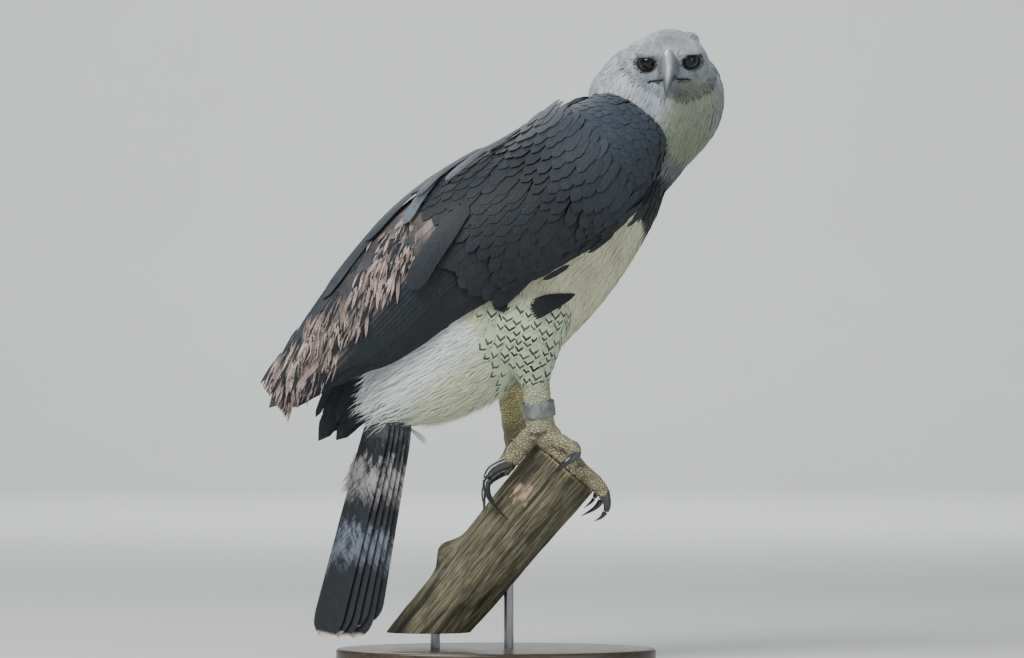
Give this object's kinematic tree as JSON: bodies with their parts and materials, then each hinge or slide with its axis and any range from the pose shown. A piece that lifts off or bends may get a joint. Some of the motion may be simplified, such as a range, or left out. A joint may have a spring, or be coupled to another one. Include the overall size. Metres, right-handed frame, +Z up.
{
  "type": "harpy eagle on a branch",
  "caption": "Large crested eagle standing on a cut branch, head turned to one side, wings folded and tail hanging, as a life-size still model on a flat display stand.",
  "frame": {"origin": "middle of the underside of the display board, at the centre of the model's bounding box", "axes": "+Z up; the bird's body faces +X, turned 15 degrees towards +Y; its face is turned towards -Y, from where the picture looks"},
  "size_m": [0.5686, 0.276, 0.8003],
  "materials": {
    "slate_feather": "close slate-black contour and flight feathers with a soft sheen",
    "white_feather": "soft white down and contour feathers, breast band black",
    "grey_feather": "soft pale ash-grey feathers of head and neck",
    "barred_feather": "soft whitish thigh feathers with fine dark bars",
    "tail_feather": "stiff black feathers with three mottled ash-grey bands",
    "bill_horn": "smooth grey horn, darker at the tip",
    "claw_horn": "polished dark grey horn",
    "eye": "wet, almost black",
    "leg_scale": "dull yellowish scaly skin",
    "band_metal": "plain dull grey metal",
    "branch_wood": "weathered bare wood",
    "stand_board": "dark stained board, satin",
    "stand_steel": "plain round rod"
  },
  "bodies": {
    "root": {"torso": "white_feather", "neck": "grey_feather", "head": "grey_feather", "bill_upper": "bill_horn", "bill_lower": "bill_horn", "eye_right": "eye", "eye_left": "eye", "wing_right": "slate_feather", "wing_left": "slate_feather", "tail": "tail_feather", "thigh_right": "barred_feather", "thigh_left": "barred_feather", "shin_right": "leg_scale", "shin_left": "leg_scale", "foot_right": "leg_scale", "foot_left": "leg_scale", "claw_right_hallux": "claw_horn", "claw_right_inner": "claw_horn", "claw_right_middle": "claw_horn", "claw_right_outer": "claw_horn", "claw_left_hallux": "claw_horn", "claw_left_inner": "claw_horn", "claw_left_middle": "claw_horn", "claw_left_outer": "claw_horn", "leg_band": "band_metal", "perch_branch": "branch_wood", "stand_base": "stand_board", "stand_rod_1": "stand_steel", "stand_rod_2": "stand_steel"}
  },
  "joints": []
}
